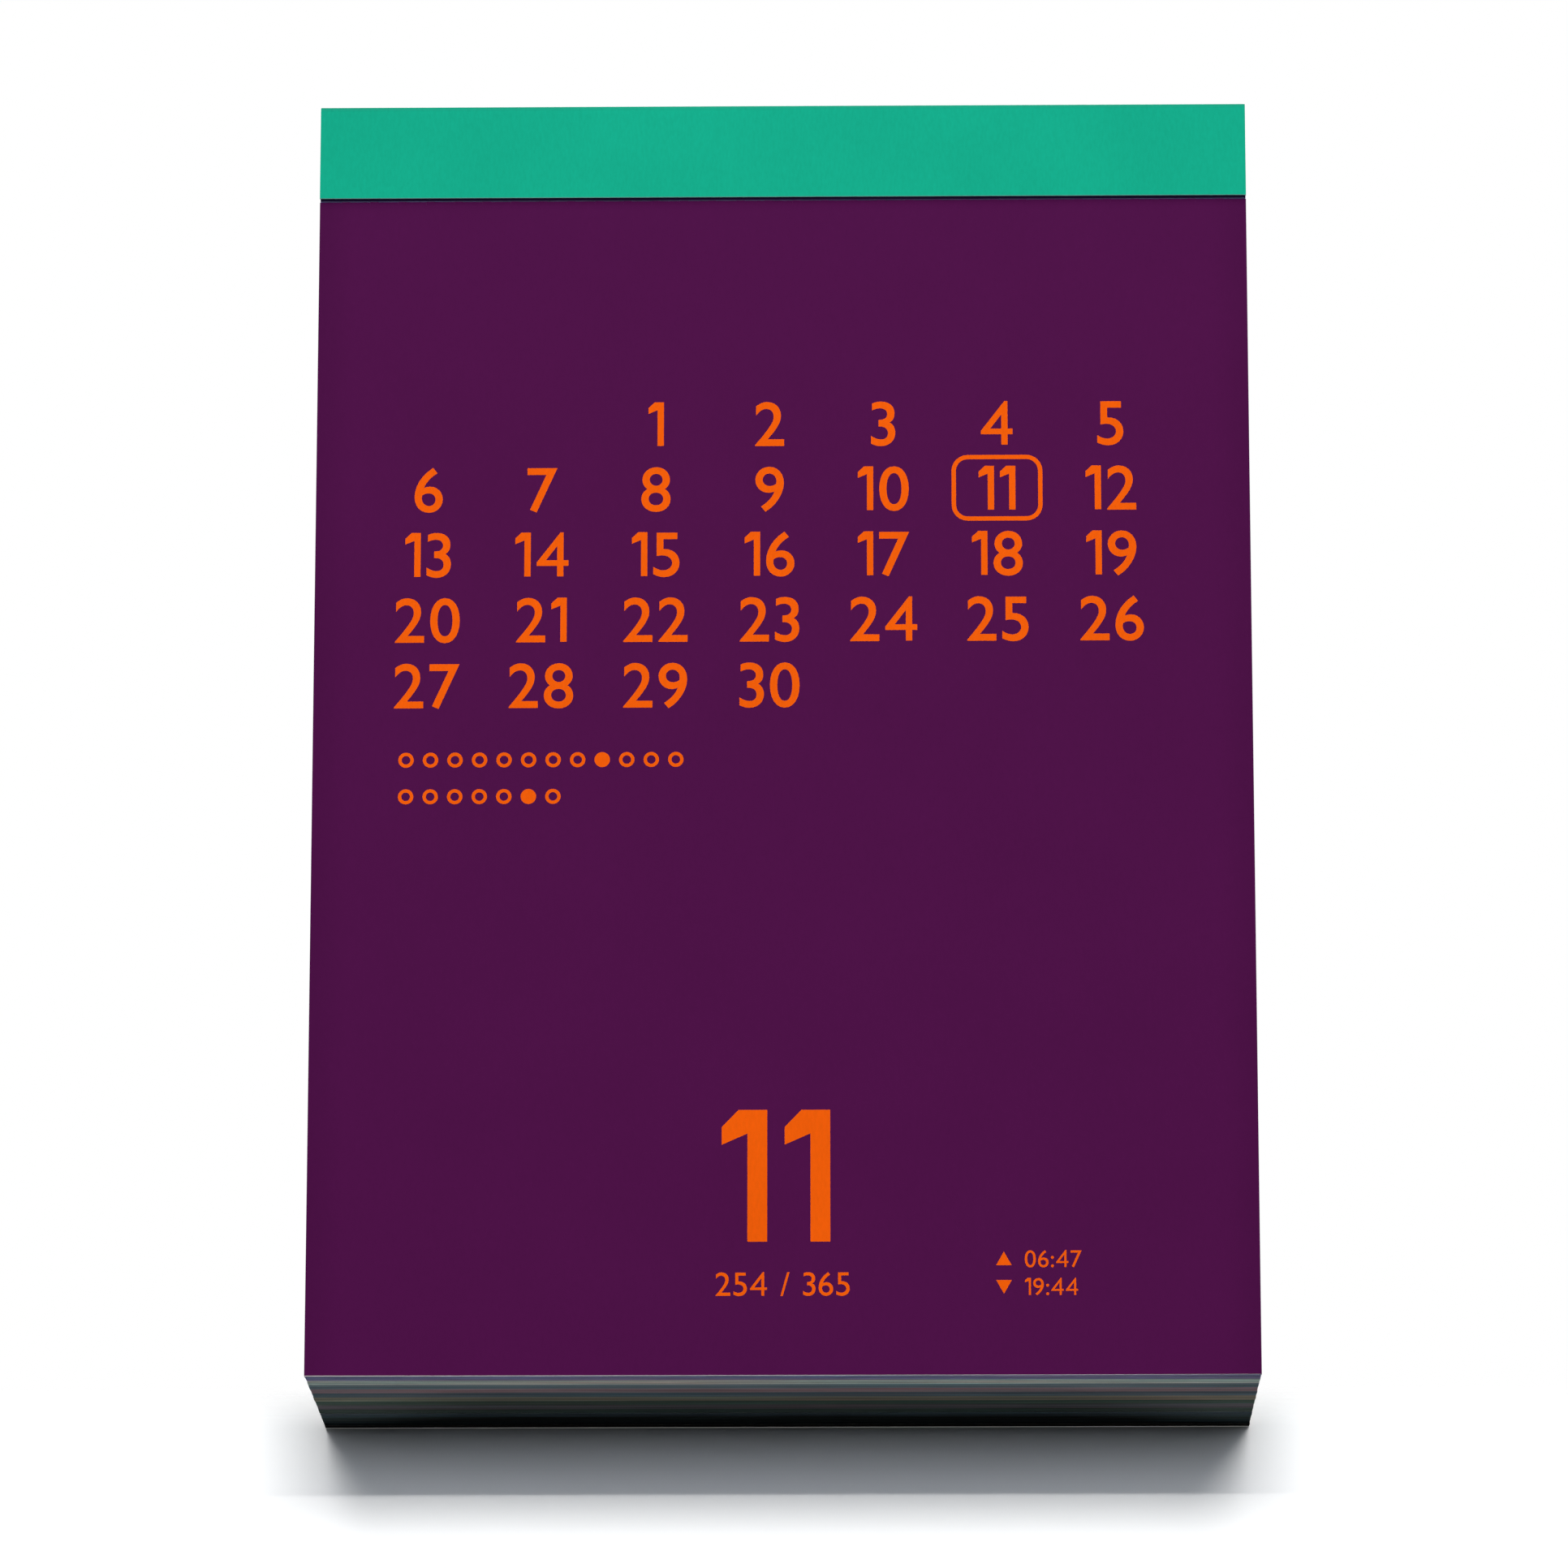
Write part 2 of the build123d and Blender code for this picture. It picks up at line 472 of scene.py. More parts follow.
def headEdge(across, tied):
    # upper edge of a leaf: slits stop short of the stub, ties reach it, or leave room for the tie piece
    slit = stubBottom - leafShape["slit"]
    tie = stubBottom if tied else tieBottom
    away = np.abs(across[:, None] - tieCentres).min(axis=1)
    onTie = away <= leafShape["tieWidth"] / 2 + tolerance
    return slit + (tie - slit) * onTie


def cornerLift(across, up, amount):
    # how far a free corner stands forward: the square of the distance down from the reach line,
    # times the fourth power of the distance from the middle
    down = np.clip(1 - up / leafShape["liftReach"], 0, 1)
    return amount * down ** 2 * np.abs(across / halfWidth) ** 4


def makeLeaf(node, body, slot, lift):
    # a sheet: a grid across and up, once for each face, joined along its rim
    tied = node != "leaf_01"  # the front leaf's ties are a node of their own
    low, high = nodeBox(node)
    across = perforationColumns()
    level = np.linspace(0, tieBottom - leafShape["headRoom"], leafShape["rows"])
    z = np.vstack([np.tile(level[:, None], (1, len(across))), headEdge(across, tied)])
    z = np.insert(z, 1, np.interp(across, [-halfWidth, halfWidth], leafShape["burrAndHighlight"]), axis=0)
    x = np.tile(across, (len(z), 1))
    shift = cornerLift(x, z, lift)
    front = np.stack([x, low[1] - shift, z], axis=-1)
    back = np.stack([x, high[1] - shift, z], axis=-1)
    rows, columns = x.shape
    points = np.vstack([front.reshape(-1, 3), back.reshape(-1, 3)])
    face = gridQuads(rows, columns)
    index = np.arange(rows * columns).reshape(rows, columns)
    rim = np.concatenate([index[0], index[1:, -1], index[-1, -2::-1], index[-2:0:-1, 0]])
    far = rim + rows * columns
    edge = np.stack([rim, far, np.roll(far, -1), np.roll(rim, -1)], axis=-1)
    faces = face.tolist() + (face[:, ::-1] + rows * columns).tolist() + edge.tolist()
    materials = [pageInk, leafPaper, edgeInk if tied else leafPaper]
    bare = columns - 1
    kind = np.repeat([1, 0, 1, 2], [bare, len(face) - bare, len(face), len(edge)])  # burr and painted highlight, page, back, rim
    piece = makePiece(f"{node}_sheet", points, faces, materials, body, kind)
    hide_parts(node)


singleLeaves = [
    ("leaf_01", "front_leaf", "front_leaf_paper", leafShape["cornerLift"]),
    ("leaf_02", "second_leaf", "leaf_paper", 0.0),
    ("leaf_03", "third_leaf", "leaf_paper", 0.0),
    ("leaf_04", "fourth_leaf", "leaf_paper", 0.0),
    ("leaf_05", "fifth_leaf", "leaf_paper", 0.0),
]
for leaf in singleLeaves:
    makeLeaf(*leaf)

edgeShape = {
    "groove": 0.025,   # dip between two leaves
    "jitter": 0.03,    # leaves don't quite line up
    "sway": 0.05,      # slow drift of the trimmed face through the block
    "swayLength": 9.0,
    "footSteps": 24,
    "sideSteps": 30,
    "stubSteps": 10,
    "seed": 11,
}
edgeDraws = np.random.default_rng(edgeShape["seed"])


def edgeInset(depths):
    # how far each leaf's edge lies inside the outline: a slow sway, a small own jitter and the groove
    # between leaves; the depths alternate between grooves and leaf middles
    leaves = len(depths) // 2
    own = np.abs(edgeDraws.normal(0, edgeShape["jitter"], leaves + 1))
    jitter = np.repeat(own, 2)[: len(depths)]
    phase = edgeDraws.uniform(0, 2 * math.pi)
    sway = 0.5 - 0.5 * np.cos(depths / edgeShape["swayLength"] * 2 * math.pi + phase)
    groove = (np.arange(len(depths)) % 2 == 0) * edgeShape["groove"]
    return edgeShape["sway"] * sway + jitter + groove


def leafPile(node, loopX, loopZ, front):
    # a closed outline carried through the depth of the pile, leaf by leaf, pressed in at the foot and
    # the two sides by each leaf's own inset
    low, high = nodeBox(node)
    leaves = round((high[1] - low[1]) / leafThickness)
    depths = np.linspace(low[1], high[1], 2 * leaves + 1)
    foot, left, right = (edgeInset(depths)[:, None] for _ in range(3))
    x = np.clip(loopX[None, :], low[0] + left, high[0] - right)
    z = np.maximum(loopZ[None, :], low[2] + foot)
    y = np.tile(depths[:, None], (1, len(loopX)))
    points = np.stack([x, y, z], axis=-1).reshape(-1, 3)
    around = gridQuads(len(depths), len(loopX), closed=True)[:, ::-1]
    loop = np.arange(len(loopX))
    lastRow = loop + (len(depths) - 1) * len(loopX)
    faces = around.tolist() + [loop.tolist(), lastRow[::-1].tolist()]
    kind = np.append(np.zeros(len(around), dtype=int), [1, 2])
    materials = [edgeInk, front, leafPaper]
    piece = makePiece(f"{node}_leaves", points, faces, materials, "block", kind)
    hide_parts(node)


def makeBundle(node, front):
    # foot, right side, perforated head and left side, counter-clockwise from the front
    low, high = nodeBox(node)
    head = perforationColumns()[::-1]
    foot = np.linspace(low[0], high[0], edgeShape["footSteps"], endpoint=False)
    side = np.linspace(0, 1, edgeShape["sideSteps"], endpoint=False)
    top = headEdge(head, True)
    loopX = np.concatenate([foot, np.full(len(side), high[0]), head, np.full(len(side) - 1, low[0])])
    loopZ = np.concatenate([np.zeros(len(foot)), side * top[0], top, (1 - side[1:]) * top[-1]])
    leafPile(node, loopX, loopZ, front)


def makeStub():
    # right side and left side, counter-clockwise from the front
    low, high = nodeBox("stub_pack")
    side = np.linspace(low[2], high[2], edgeShape["stubSteps"])
    loopX = np.repeat([high[0], low[0]], len(side))
    # the stub's front is dark: painted shadow under the strip
    leafPile("stub_pack", loopX, np.append(side, side[::-1]), stubShadowInk)


for number in range(1, len(bundleInks) + 1):
    makeBundle(f"leaf_bundle_{number:02d}", pageInk if number == 1 else leafPaper)
makeStub()
print("leaves laid")

# Print on the leaves: plain numbers only

numeralForm = {
    "curveSteps": 6,          # points along a curve of the built-in typeface
    "gap": 0.13,              # between two numerals; from here on, shares of a numeral's height
    "blank": 0.3,
    "fontStroke": 0.118,      # stroke of the built-in typeface as it comes
    "oneWidth": 0.34,         # the one, from the tip of its flag to its stem
    "oneTip": (0.87, 0.735),  # upper and lower end of the flag's tip
    "oneRoot": 0.82,          # lower side of the flag at the stem
    "fourWidth": 0.7,
    "fourTail": 0.11,         # the four's bar past its stem
    "fourBar": 0.24,          # lower side of the bar
    "oneHead": 1.45,          # width of the one's head; from here on, shares of a numeral's stroke
    "fourBarStroke": 0.92,
    "fourKnee": 0.55,         # the bar's left end, up to the slope
    "fourHead": 0.5,
    "fourSlopeStroke": 0.95,
}
printLayout = {
    "height": 0.015,          # ink stands proud of the paper
    "firstDay": 11,           # on the front leaf
    "gridLeft": -43.6,
    "gridTop": 121.6,
    "gridColumn": 14.0,
    "gridRow": 8.3,
    "gridNumeral": 5.6,
    "gridWeight": 0.14,
    "gridOffset": 2,          # the first falls in the third column
    "weekDays": 7,
    "monthDays": 30,
    "ringSize": (11.2, 8.4),
    "ringRadius": 2.0,
    "ringStroke": 0.55,
    "ringSteps": 7,           # points of a corner
    "months": 12,
    "month": 8,               # counted from 0, as the pips are
    "pipLeft": -47.0,
    "pipTop": 76.2,
    "pipRow": 4.6,
    "pipPitch": 3.0,
    "pipSize": 1.9,
    "pipHole": 0.56,          # share of a pip's width
    "pipSteps": 24,
    "datePlace": (-0.8, 16.3),
    "dateNumeral": 16.2,
    "dateWeight": 0.148,
    "countPlace": (0.0, 9.7),
    "countNumeral": 2.9,
    "daysBefore": 243,        # days of the year before this month
    "yearDays": 365,
    "smallWeight": 0.12,
    "times": ("06:47", "19:44"),
    "timeLeft": 25.6,
    "timeLines": (13.1, 9.7),
    "timeNumeral": 2.1,
    "timeIndent": 1.7,        # past the arrow, in numeral heights
    "arrow": [(-0.45, -0.38), (0.45, -0.38), (0.0, 0.42)],
}


def fontShape(character, weight):
    # outline of a character of the built-in typeface, thickened by weight, one unit deep
    curve = bpy.data.curves.new("numeral", "FONT")
    curve.body = character
    curve.offset = weight
    curve.extrude = 0.5  # to either side
    curve.resolution_u = numeralForm["curveSteps"]
    holder = placeObject("numeral", curve)
    mesh = bpy.data.meshes.new_from_object(holder.evaluated_get(bpy.context.evaluated_depsgraph_get()))
    points = np.empty(3 * len(mesh.vertices))
    mesh.vertices.foreach_get("co", points)
    faces = [list(face.vertices) for face in mesh.polygons]
    bpy.data.objects.remove(holder)
    bpy.data.curves.remove(curve)
    bpy.data.meshes.remove(mesh)
    return points.reshape(-1, 3) + [0, 0, 0.5], faces


def oneShape(weight):
    # numeral one: an upright stem with a flag that slopes down to the left and ends upright
    half = numeralForm["oneWidth"] / 2
    stem = half - weight
    head = half - numeralForm["oneHead"] * weight
    tipTop, tipBottom = numeralForm["oneTip"]
    outline = np.array([
        (half, 0), (half, 1), (head, 1), (-half, tipTop), (-half, tipBottom),
        (stem, numeralForm["oneRoot"]), (stem, 0),
    ])
    return extrudeOutline(outline)


def fourShape(weight):
    # numeral four: a stem, a bar across it and a slope from the stem's head down to the bar's left end;
    # the counter is the triangle between them, whose long side runs a stroke's width inside the slope
    right = numeralForm["fourWidth"]
    stemRight = right - numeralForm["fourTail"]
    stemLeft = stemRight - weight
    low = numeralForm["fourBar"]
    high = low + numeralForm["fourBarStroke"] * weight
    knee = low + numeralForm["fourKnee"] * weight
    head = stemRight - numeralForm["fourHead"] * weight
    slope = (1 - knee) / head
    drop = numeralForm["fourSlopeStroke"] * weight * math.hypot(1, slope)  # the slope's height at any place
    counterTop = knee + stemLeft * slope - drop
    counterLeft = (high + drop - knee) / slope
    outline = np.array([
        (stemLeft, 0), (stemRight, 0), (stemRight, low), (right, low), (right, high), (stemRight, high),
        (stemRight, 1), (head, 1), (0, knee), (0, low), (stemLeft, low),
    ])
    counter = np.array([(stemLeft, high), (counterLeft, high), (stemLeft, counterTop)])
    middle = np.array([right / 2, 0])
    return extrudeOutline(outline - middle, counter - middle)


drawnNumerals = {"1": oneShape, "4": fourShape}
shapeStore = {}
zeroHeight = np.ptp(fontShape("0", 0.0)[0][:, 1])


def numeralShape(character, weight):
    # a numeral one unit high, standing on its base line and centred across
    key = (character, weight)
    if key not in shapeStore:
        if character in drawnNumerals:
            shapeStore[key] = drawnNumerals[character](weight)
        else:
            points, faces = fontShape(character, (weight - numeralForm["fontStroke"]) * zeroHeight / 2)
            points[:, :2] /= zeroHeight
            points[:, 0] -= (points[:, 0].min() + points[:, 0].max()) / 2
            shapeStore[key] = (points, faces)
    return shapeStore[key]


def ringShape():
    # a rounded frame: corner arcs make a path, and a small rectangle is carried round it
    width, height = printLayout["ringSize"]
    radius, stroke = printLayout["ringRadius"], printLayout["ringStroke"]
    turn = np.linspace(0, math.pi / 2, printLayout["ringSteps"])
    corners = []
    for quarter, (right, up) in enumerate(((1, 1), (-1, 1), (-1, -1), (1, -1))):
        middle = np.array([right * (width / 2 - radius), up * (height / 2 - radius)])
        corners.append((middle, spokes(turn + quarter * math.pi / 2)))
    loops = []
    for depth, reach in ((0, radius), (0, radius - stroke), (1, radius - stroke), (1, radius)):
        flat = np.vstack([middle + reach * spoke for middle, spoke in corners])
        loops.append(np.column_stack([flat, np.full(len(flat), depth)]))
    points = np.vstack(loops)
    quads = gridQuads(len(loops) + 1, len(loops[0]), closed=True) % len(points)
    return points, quads[:, ::-1].tolist()


def pipShape(filled):
    # a round dot, or an open ring of the same size
    circle = spokes(np.linspace(0, 2 * math.pi, printLayout["pipSteps"], endpoint=False))
    circle *= printLayout["pipSize"] / 2
    holes = [] if filled else [printLayout["pipHole"] * circle[::-1]]
    return extrudeOutline(circle, *holes)


class InkSheet:
    # gathers the print of one leaf: shapes in the page's plane, one unit deep, become one mesh
    def __init__(self):
        self.points = []
        self.faces = []
        self.count = 0

    def add(self, shape, x, z, size=1.0):
        points, faces = shape
        self.points.append(points * [size, size, 1.0] + [x, z, 0.0])
        self.faces += [[corner + self.count for corner in face] for face in faces]
        self.count += len(points)

    def addNumerals(self, text, x, z, size, weight, align=0.5):
        # each numeral takes its own width and a gap
        shapes = [None if character == " " else numeralShape(character, weight) for character in text]
        widths = [numeralForm["blank"] if shape is None else np.ptp(shape[0][:, 0]) for shape in shapes]
        starts = np.cumsum([0.0] + widths[:-1]) + numeralForm["gap"] * np.arange(len(text))
        left = x - align * (starts[-1] + widths[-1]) * size
        for shape, start, width in zip(shapes, starts, widths):
            if shape is not None:
                self.add(shape, left + (start + width / 2) * size, z, size)

    def finish(self, name, frontY, lift, body, slot):
        flat = np.vstack(self.points)
        x, z = flat[:, 0], flat[:, 1]
        y = frontY - cornerLift(x, z, lift) - flat[:, 2] * printLayout["height"]
        makePiece(name, np.column_stack([x, y, z]), self.faces, [printInk], body)


def printLeaf(day, node, body, slot, lift):
    # month grid of plain numbers, month and weekday pips, day number, day of the year and two clock times
    value = printLayout
    week, small = value["weekDays"], value["smallWeight"]
    sheet = InkSheet()
    for number in range(1, value["monthDays"] + 1):
        row, column = divmod(number - 1 + value["gridOffset"], week)
        x = value["gridLeft"] + column * value["gridColumn"]
        z = value["gridTop"] - value["gridNumeral"] - row * value["gridRow"]
        sheet.addNumerals(str(number), x, z, value["gridNumeral"], value["gridWeight"])
        if number == day:
            sheet.add(ringShape(), x, z + value["gridNumeral"] / 2)
    weekday = (day - 1 + value["gridOffset"]) % week
    for row, (count, current) in enumerate(((value["months"], value["month"]), (week, weekday))):
        for place in range(count):
            x = value["pipLeft"] + value["pipSize"] / 2 + place * value["pipPitch"]
            z = value["pipTop"] - row * value["pipRow"]
            sheet.add(pipShape(place == current), x, z)
    sheet.addNumerals(str(day), *value["datePlace"], value["dateNumeral"], value["dateWeight"])
    dayCount = f"{value['daysBefore'] + day} / {value['yearDays']}"
    sheet.addNumerals(dayCount, *value["countPlace"], value["countNumeral"], small)
    left, size = value["timeLeft"], value["timeNumeral"]
    for up, text, z in zip((1, -1), value["times"], value["timeLines"]):
        arrow = (np.array(value["arrow"]) * [1, up])[::up]
        sheet.add(extrudeOutline(arrow), left + size / 2, z + size / 2, size)
        sheet.addNumerals(text, left + value["timeIndent"] * size, z, size, small, align=0.0)
    sheet.finish(f"{node}_print", nodeBox(node)[0][1], lift, body, slot)


printedLeaves = singleLeaves + [("leaf_bundle_01", "block", "leaf_paper", 0.0)]
for day, leaf in enumerate(printedLeaves, start=printLayout["firstDay"]):
    printLeaf(day, *leaf)
print("leaves printed")

# Head strip

stripShape = {
    "thickness": 0.35,
    "foldRadius": 0.65,
    "foldSteps": 9,
    "foldLead": 0.15,        # flat stretch beside a fold, which keeps the shading of the bend within it
    "edgeRound": 0.06,
    "columns": 48,
    "foldShadeInset": 0.3,         # the rear fold is darker with painted shade, in full this far inside the strip's box
    "foldShadeReach": (0.7, 0.5),  # and from this far before that, in depth and in height
}
stripLow, stripHigh = nodeBox("head_strip")
foldShadeEdges = zip("YZ", stripHigh[1:] - stripShape["foldShadeInset"], stripShape["foldShadeReach"])
stripFinishes = {
    "stripPaper": {
        "color": toLinear(20, 169, 136),
        "fibre": 0.05,
        "mottle": 0.03,
        "rough": (0.45, 0.58),
        # painted shade along the fold
        "edges": list(foldShadeEdges),
        "edgeShadeTone": (1.0, 0.72),
    },
    "stripCut": {"color": toLinear(128, 205, 190), "fibre": 0.08, "mottle": 0.04, "rough": (0.75, 0.85)},
}
stripPaper, stripCut = (coatedPaper(name, **finish) for name, finish in stripFinishes.items())


def foldOutline(low, high):
    # the strip's section: up the back, round the two folds, down the front, and back along the inside;
    # each cut edge has its two corners taken off
    thick, radius, edge = stripShape["thickness"], stripShape["foldRadius"], stripShape["edgeRound"]
    turn = np.linspace(0, math.pi / 2, stripShape["foldSteps"])

    def fold(centreY, reach, start):
        # a quarter turn with a short flat lead before and after it
        spoke = spokes(turn + start)
        arc = np.array([centreY, high[2] - radius]) + reach * spoke
        lead = stripShape["foldLead"]
        return np.vstack([arc[0] - lead * spoke[-1], arc, arc[-1] - lead * spoke[0]])

    rearY, frontY = high[1] - radius, low[1] + radius
    inner = radius - thick
    outside = np.vstack([
        [(high[1], low[2] + edge)],
        fold(rearY, radius, 0),
        fold(frontY, radius, math.pi / 2),
        [(low[1], low[2] + edge)],
    ])
    inside = np.vstack([
        [(low[1] + edge, low[2]), (low[1] + thick - edge, low[2]), (low[1] + thick, low[2] + edge)],
        fold(frontY, inner, math.pi / 2)[::-1],
        fold(rearY, inner, 0)[::-1],
        [(high[1] - thick, low[2] + edge), (high[1] - thick + edge, low[2]), (high[1] - edge, low[2])],
    ])
    return outside, inside


def makeStrip():
    # the section carried across the width of the page
    outside, inside = foldOutline(stripLow, stripHigh)
    across = np.linspace(stripLow[0], stripHigh[0], stripShape["columns"])
    points, faces = carryAcross(np.vstack([outside, inside]), across)
    onCut = np.zeros(len(outside) + len(inside), dtype=int)
    onCut[len(outside) - 1 : len(outside) + 2] = 1  # front cut edge
    onCut[-4:] = 1                                  # rear cut edge, and the inner face above it
    kind = np.append(np.tile(onCut, len(across) - 1), [1, 1])
    piece = makePiece("head_strip_fold", points, faces, [stripPaper, stripCut], "block", kind)
    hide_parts("head_strip")


makeStrip()
print("head strip folded")

# Back board and easel tongue

boardShape = {
    "edgeCrush": 0.16,
    "crushSteps": 2,
    "crushTurn": 40,   # degrees; a corner that turns more is crushed
    "flatTurn": 0.5,   # degrees; faces that meet at less become one
    "cutFacing": 0.5,  # a face is cut edge where its normal has less than this along the depth
}
boardFinish = {
    "rough": 0.92,
    "grey": toLinear(148, 140, 128),
    "fibreScale": 1400.0,
    "fibreTone": (0.82, 1.16),
    "mottleScale": 45.0,
    "mottleTone": (0.93, 1.07),
    "flecks": [
        # scale of the noise, the value from which it is a fleck, and its colour
        (620.0, 0.66, toLinear(88, 82, 76)),
        (480.0, 0.68, toLinear(196, 190, 178)),
    ],
    "fleckDraw": (1.0, 1.0, 0.4),
    "fleckRim": 0.06,
    "fleckShare": 0.7,
    "bump": 0.35,
    "bumpDepth": 0.05,
}
shadeTop, shadeBottom = paintedFootShade["level"]
coreFinish = {
    "color": toLinear(122, 116, 108),
    "fibre": 0.25,
    "mottle": 0.1,
    "rough": (0.85, 0.95),
    # the core's cut edges are darkened near the foot: painted shade
    "edges": [("Z", shadeTop, shadeTop - shadeBottom)],
    "edgeShadeTone": (0.06, 1.0),  # painted shade at the foot
}


def greyBoard():
    # recycled board: drawn-out fibres, dark and pale flecks, cloudy tone
    value = boardFinish
    material, tree, shader, place = startMaterial("greyBoard", Roughness=value["rough"])
    fibre, mottle = addGrain(tree, place, value["fibreScale"], value["mottleScale"])
    shaded = addShade(tree, value["grey"], fibre, value["fibreTone"])
    shaded = addShade(tree, shaded, mottle, value["mottleTone"])
    for scale, start, color in value["flecks"]:
        shift = (scale * mm, 0.0, 0.0)
        spot = addNoise(tree, place, value["fleckDraw"], shift, Scale=scale, Detail=2.0, Roughness=0.7)
        limits = {"From_Min": start, "From_Max": start + value["fleckRim"], "To_Max": value["fleckShare"]}
        shaded = addMix(tree, addRange(tree, spot, **limits), shaded, color)
    feed(tree, shaded, shader.inputs["Base Color"])
    addBump(tree, shader, fibre, value["bump"], value["bumpDepth"])
    return material


boardGrey = greyBoard()
boardCore = coatedPaper("boardCore", **coreFinish)


def dressBoard(node, name, body):
    # a merged copy of a board's CAD node, with its corners eased and its cut edges in the darker core
    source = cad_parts[node]
    work = bmesh.new()
    work.from_mesh(source.data)
    bmesh.ops.remove_doubles(work, verts=work.verts, dist=tolerance)
    flat = math.radians(boardShape["flatTurn"])
    bmesh.ops.dissolve_limit(work, angle_limit=flat, verts=work.verts, edges=work.edges)
    mesh = bpy.data.meshes.new(name)
    work.to_mesh(mesh)
    work.free()
    mesh.materials.clear()
    mesh.materials.append(boardGrey)
    mesh.materials.append(boardCore)
    normals = np.empty(3 * len(mesh.polygons))
    mesh.polygons.foreach_get("normal", normals)
    onEdge = np.abs(normals.reshape(-1, 3)[:, 1]) < boardShape["cutFacing"]
    mesh.polygons.foreach_set("material_index", onEdge.astype(np.int32))
    smoothFaces(mesh)
    piece = placeObject(name, mesh)
    ease = piece.modifiers.new("ease", "BEVEL")
    ease.width = boardShape["edgeCrush"] * mm
    ease.segments = boardShape["crushSteps"]
    ease.limit_method = "ANGLE"
    ease.angle_limit = math.radians(boardShape["crushTurn"])
    ease.harden_normals = True
    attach(piece, body)
    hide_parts(node)


creaseShape = {
    "outer": 0.27,      # just inside the two flanks of the score, which are 0.28 from the fold line
    "inner": 0.19,
    "outerTurn": (200, 270),
    "innerTurn": (270, 150),
    "turnSteps": 9,
    "root": [(-0.2, 0.3), (-0.45, 0.1)],  # depth and height from the fold line, inside the board
    "half": 21.95,      # of its length, just inside the tongue's two sides
    "columns": 12,
}


def makeCrease():
    # the skin that still joins the tongue to the board: a bent lining of the score, round the fold line
    # and rooted in the board, carried along the crease
    value = creaseShape
    arcs = [
        value[side] * spokes(np.radians(np.linspace(*value[f"{side}Turn"], value["turnSteps"])))
        for side in ("outer", "inner")
    ]
    foldLine = np.array([nodeBox("back_board")[1][1], nodeBox("stand_flap")[1][2]])
    section = foldLine + np.vstack([*arcs, value["root"]])
    points, faces = carryAcross(section, np.linspace(-value["half"], value["half"], value["columns"]))
    makePiece("back_board_crease", points, faces, [boardGrey], "block")


dressBoard("back_board", "back_board_card", "block")
dressBoard("stand_flap", "stand_flap_card", "easel")
makeCrease()
print("board dressed")

# CAD nodes that stay

glueFinish = {
    "color": toLinear(214, 206, 186),
    "coat": 0.2,
    "rippleScale": 700.0,
    "cloudScale": 120.0,
    "tone": (0.9, 1.08),
    "rough": (0.35, 0.55),
    "bump": 0.2,
    "bumpDepth": 0.05,
}
wireFinish = {
    "color": toLinear(176, 178, 182),
    "lineDraw": (0.02, 1.0, 1.0),
    "lineScale": 9000.0,
    "tone": (0.85, 1.1),
    "rough": (0.25, 0.45),
}


def paddingGlue():
    # dried padding glue: milky, a little shiny, with a rippled skin
    value = glueFinish
    material, tree, shader, place = startMaterial("paddingGlue", Coat_Weight=value["coat"])
    ripple, cloud = addGrain(tree, place, value["rippleScale"], value["cloudScale"])
    feed(tree, addShade(tree, value["color"], cloud, value["tone"]), shader.inputs["Base Color"])
    addRoughness(tree, shader, cloud, value["rough"])
    addBump(tree, shader, ripple, value["bump"], value["bumpDepth"])
    return material


def drawnSteel():
    # drawn wire: fine lines along X on bright steel
    value = wireFinish
    material, tree, shader, place = startMaterial("drawnSteel", Metallic=1.0)
    scratch = addNoise(tree, place, value["lineDraw"], Scale=value["lineScale"], Detail=2.0)
    feed(tree, addShade(tree, value["color"], scratch, value["tone"]), shader.inputs["Base Color"])
    addRoughness(tree, shader, scratch, value["rough"])
    return material


def finishNode(node, material):
    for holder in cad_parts[node].material_slots:
        holder.material = material


wireSteel = drawnSteel()
finishNode("head_glue", paddingGlue())
finishNode("front_staples", wireSteel)
finishNode("rear_staples", wireSteel)
finishNode("tear_ties", pageInk)
print("CAD nodes finished")

# Stage: a pale wall patch behind the foot, a pale floor far below, soft studio light

stageShape = {
    "wallGap": 0.03,
    "wallHalf": 150.0,
    "wallDrop": 150.0,
    "wallRise": 5.0,
    "wallFade": (50.0, 50.0, 5.0),  # sides, lower and upper border
    "wallSteps": 61,
    "riseSteps": 7,
    "wallWhite": 1.4,
    "floorDrop": 240.0,
    "floorHalf": 900.0,
    "floorFade": 400.0,
    "floorSteps": 61,
    "floorWhite": 2.0,
    "ambient": 0.02,
    "ambientTint": (0.86, 0.93, 1.0, 1.0),
}


def addShaderMix(tree, factor, first, second):
    mix = addNode(tree, "ShaderNodeMixShader", Fac=factor)
    feed(tree, first, mix.inputs[1])
    feed(tree, second, mix.inputs[2])
    return mix.outputs["Shader"]


def studioPaint(name, white):
    # matt white that is seen from its front only and fades out towards its rim
    material = bpy.data.materials.new(name)
    tree = emptyTree(material)
    paint = addNode(tree, "ShaderNodeBsdfDiffuse", Color=(white, white, white, 1.0)).outputs["BSDF"]
    clear = addNode(tree, "ShaderNodeBsdfTransparent").outputs["BSDF"]
    fade = addNode(tree, "ShaderNodeAttribute")
    fade.attribute_name = "rim"
    behind = addNode(tree, "ShaderNodeNewGeometry").outputs["Backfacing"]
    either = addMath(tree, "MAXIMUM", fade.outputs["Fac"], behind)
    addNode(tree, "ShaderNodeOutputMaterial", Surface=addShaderMix(tree, either, paint, clear))
    return material


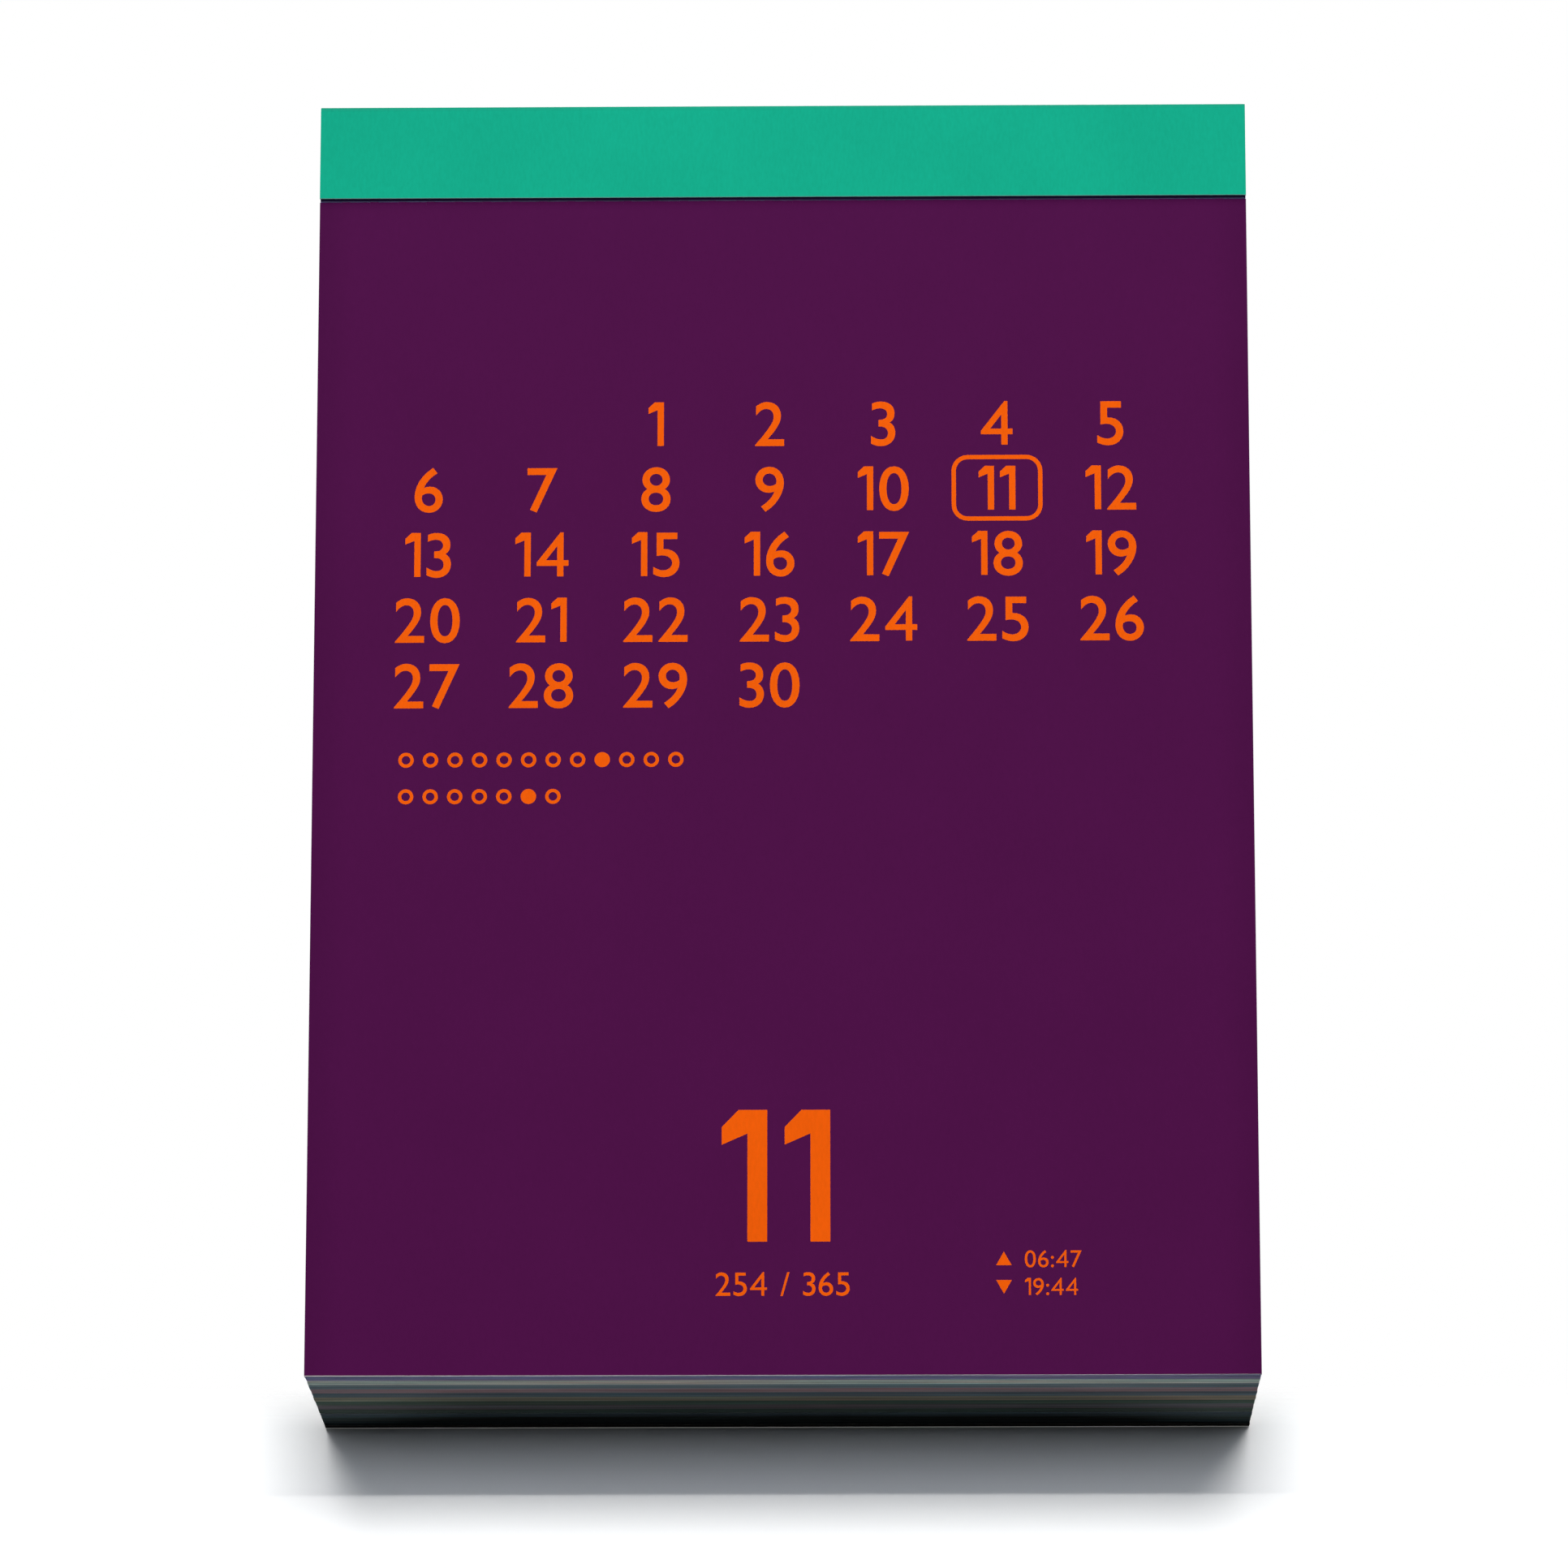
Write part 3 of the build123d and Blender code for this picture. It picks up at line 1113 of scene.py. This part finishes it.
def stageSheet(name, points, rim, faces, paint):
    # a flat sheet with a rim value for each point: 0 is opaque, 1 is clear
    mesh = bpy.data.meshes.new(name)
    mesh.from_pydata((points * mm).tolist(), [], faces.tolist())
    mesh.attributes.new("rim", "FLOAT", "POINT").data.foreach_set("value", np.clip(rim, 0, 1))
    mesh.materials.append(paint)
    sheet = placeObject(name, mesh)
    sheet.visible_shadow = False
    sheet.visible_glossy = False
    return sheet


def makeWall():
    # a grid across and up just behind the board, open where the board covers it
    value = stageShape
    half, drop, rise = value["wallHalf"], value["wallDrop"], value["wallRise"]
    sides, lower, upper = value["wallFade"]
    across = np.unique(np.append(np.linspace(-half, half, value["wallSteps"]), [-halfWidth, halfWidth]))
    up = np.append(np.linspace(-drop, 0, value["wallSteps"]), np.linspace(0, rise, value["riseSteps"])[1:])
    x, z = (grid.ravel() for grid in np.meshgrid(across, up))
    y = np.full(len(x), nodeBox("back_board")[1][1] + value["wallGap"])
    rim = 1 - np.minimum.reduce([(half - np.abs(x)) / sides, (z + drop) / lower, (rise - z) / upper])
    faces = gridQuads(len(up), len(across))
    covered = (np.abs(x[faces].mean(axis=1)) < halfWidth) & (z[faces].mean(axis=1) > 0)
    paint = studioPaint("wallPaint", value["wallWhite"])
    stageSheet("wall", np.column_stack([x, y, z]), rim, faces[~covered], paint)


def makeFloor():
    # a square grid far below the foot, which gives no light back
    value = stageShape
    half = value["floorHalf"]
    side = np.linspace(-half, half, value["floorSteps"])
    x, y = (grid.ravel() for grid in np.meshgrid(side, side))
    rim = 1 - (half - np.maximum(np.abs(x), np.abs(y))) / value["floorFade"]
    points = np.column_stack([x, y, np.full(len(x), -value["floorDrop"])])
    paint = studioPaint("floorPaint", value["floorWhite"])
    floor = stageSheet("floor", points, rim, gridQuads(len(side), len(side)), paint)
    floor.visible_diffuse = False


def makeWorld():
    # pure white to the camera, a dimmer cool white as light
    world = bpy.data.worlds.new("studio")
    bpy.context.scene.world = world
    tree = emptyTree(world)
    seen = addNode(tree, "ShaderNodeBackground", Color=(1.0, 1.0, 1.0, 1.0), Strength=1.0)
    dim = {"Color": stageShape["ambientTint"], "Strength": stageShape["ambient"]}
    light = addNode(tree, "ShaderNodeBackground", **dim)
    camera = addNode(tree, "ShaderNodeLightPath").outputs["Is Camera Ray"]
    mix = addShaderMix(tree, camera, light.outputs["Background"], seen.outputs["Background"])
    addNode(tree, "ShaderNodeOutputWorld", Surface=mix)


def makeLight(name, place, target, size, power, mirrored, tint=(1.0, 1.0, 1.0)):
    # a rectangular lamp that the camera doesn't see
    lamp = bpy.data.lights.new(name, "AREA")
    lamp.shape = "RECTANGLE"
    lamp.size, lamp.size_y = size
    lamp.energy = power
    lamp.color = tint
    holder = placeObject(name, lamp)
    holder.location = place
    aim = Vector(target) - Vector(place)
    holder.rotation_euler = aim.to_track_quat("-Z", "Y").to_euler()
    holder.visible_camera = False
    holder.visible_glossy = mirrored


studioLights = [
    # name, place, target, size and power, in metres and watts, whether a surface's sheen mirrors it, tint
    ("key", (0.03, -1.5, 0.42), (0.0, 0.0, 0.04), (0.7, 0.2), 8.0, False, (1.0, 0.985, 0.95)),
    ("line", (0.03, -1.5, 0.325), (0.0, 0.0, 0.0), (0.7, 0.015), 4.2, False, (1.0, 0.985, 0.95)),
    ("front", (0.03, -1.5, 0.25), (0.0, 0.0, 0.04), (0.7, 0.5), 6.6, False, (0.86, 0.91, 1.0)),
    ("top", (0.0, -0.36, 1.05), (0.0, -0.02, 0.1), (0.9, 0.3), 7.0, True),
    ("back", (0.35, 1.4, 0.9), (0.0, 0.02, 0.08), (0.9, 0.7), 17.0, True),
    ("left", (-1.5, 0.15, 0.5), (0.0, 0.0, 0.08), (0.6, 0.6), 13.0, True),
    ("right", (1.5, 0.15, 0.5), (0.0, 0.0, 0.08), (0.6, 0.6), 13.0, True),
]
makeWall()
makeFloor()
makeWorld()
for light in studioLights:
    makeLight(*light)
print("stage lit")

# Camera: a long lens below the foot, looking slightly up at the block

cameraShape = {
    "place": (14.5, -1020.3, -169.7),
    "pitch": 13.63,
    "yaw": -0.82,
    "lens": 193.7,
    "sensor": 36.0,
}


def makeCamera():
    # its line of sight comes from the pitch, upwards, and the yaw, to the right, both in degrees
    data = bpy.data.cameras.new("camera")
    data.lens = cameraShape["lens"]
    data.sensor_width = cameraShape["sensor"]
    camera = placeObject("camera", data)
    pitch, yaw = math.radians(cameraShape["pitch"]), math.radians(cameraShape["yaw"])
    look = Vector((math.sin(yaw) * math.cos(pitch), math.cos(yaw) * math.cos(pitch), math.sin(pitch)))
    camera.location = Vector(cameraShape["place"]) * mm
    camera.rotation_euler = look.to_track_quat("-Z", "Y").to_euler()
    bpy.context.scene.camera = camera


makeCamera()
bpy.context.scene.view_settings.view_transform = "Standard"
print("camera set")
